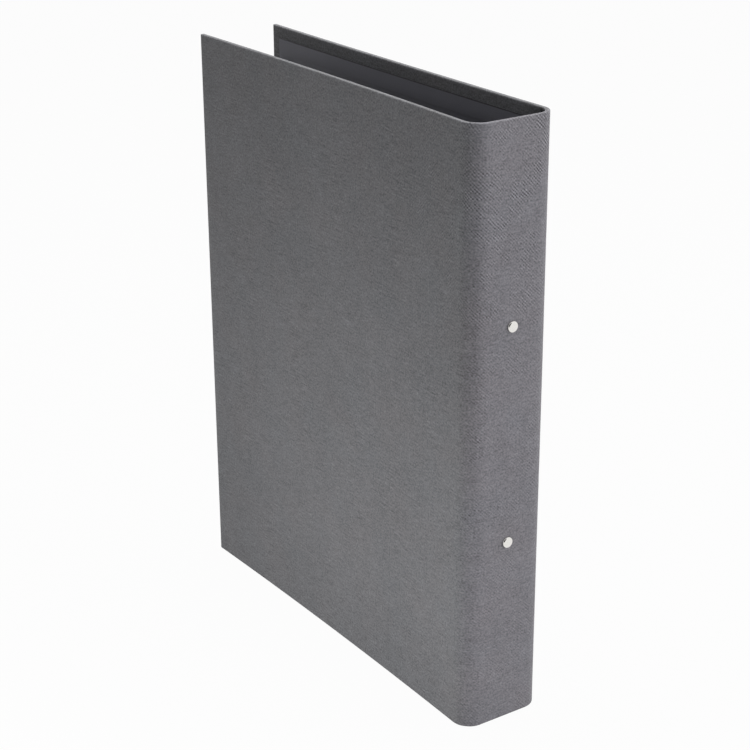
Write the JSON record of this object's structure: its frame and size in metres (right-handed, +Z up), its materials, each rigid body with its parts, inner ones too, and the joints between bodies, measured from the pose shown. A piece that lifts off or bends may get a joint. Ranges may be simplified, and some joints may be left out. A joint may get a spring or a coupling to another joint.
{
  "type": "ring binder",
  "caption": "Cloth-covered board binder with hinged covers and a ring mechanism that opens, riveted inside its spine.",
  "frame": {"origin": "centre of the whole object's box, on the surface that the binder stands on", "axes": "+Z up along the spine, +X across the spine towards the front cover, +Y from the spine to the fore-edge"},
  "size_m": [0.0494, 0.2514, 0.318],
  "materials": {
    "book_cloth": "linen-grain book cloth, matt grey",
    "grey_board": "pressed grey board",
    "lining_paper": "smooth dark paper",
    "nickel_steel": "bright nickel plate"
  },
  "bodies": {
    "spine": {"spine_board": "grey_board", "spine_cloth": "book_cloth", "spine_lining": "lining_paper", "ring_housing": "nickel_steel", "upper_rivet": "nickel_steel", "lower_rivet": "nickel_steel", "upper_spacer": "nickel_steel", "lower_spacer": "nickel_steel"},
    "back_cover": {"back_cover_board": "grey_board", "back_cover_cloth": "book_cloth", "back_cover_lining": "lining_paper"},
    "front_cover": {"front_cover_board": "grey_board", "front_cover_cloth": "book_cloth", "front_cover_lining": "lining_paper"},
    "left_leaf": {"left_leaf": "nickel_steel", "upper_ring_left_half": "nickel_steel", "lower_ring_left_half": "nickel_steel"},
    "right_leaf": {"right_leaf": "nickel_steel", "upper_ring_right_half": "nickel_steel", "lower_ring_right_half": "nickel_steel"}
  },
  "joints": [
    {"name": "back_cover_hinge", "type": "hinge", "parent": "spine", "child": "back_cover", "pos_m": [-0.02177, -0.12142, 0.159], "axis": [0, 0, 1], "range_deg": [0, 175]},
    {"name": "front_cover_hinge", "type": "hinge", "parent": "spine", "child": "front_cover", "pos_m": [0.02177, -0.12142, 0.159], "axis": [0, 0, -1], "range_deg": [0, 175]},
    {"name": "left_leaf_hinge", "type": "hinge", "parent": "spine", "child": "left_leaf", "pos_m": [-0.00915, -0.12019, 0.159], "axis": [0, 0, 1], "range_deg": [0, 11]},
    {"name": "right_leaf_hinge", "type": "hinge", "parent": "spine", "child": "right_leaf", "pos_m": [0.00915, -0.12019, 0.159], "axis": [0, 0, 1], "range_deg": [-11, 0]}
  ],
  "couplings": [
    {"joint": "right_leaf_hinge", "follows": "left_leaf_hinge", "ratio": -1}
  ]
}
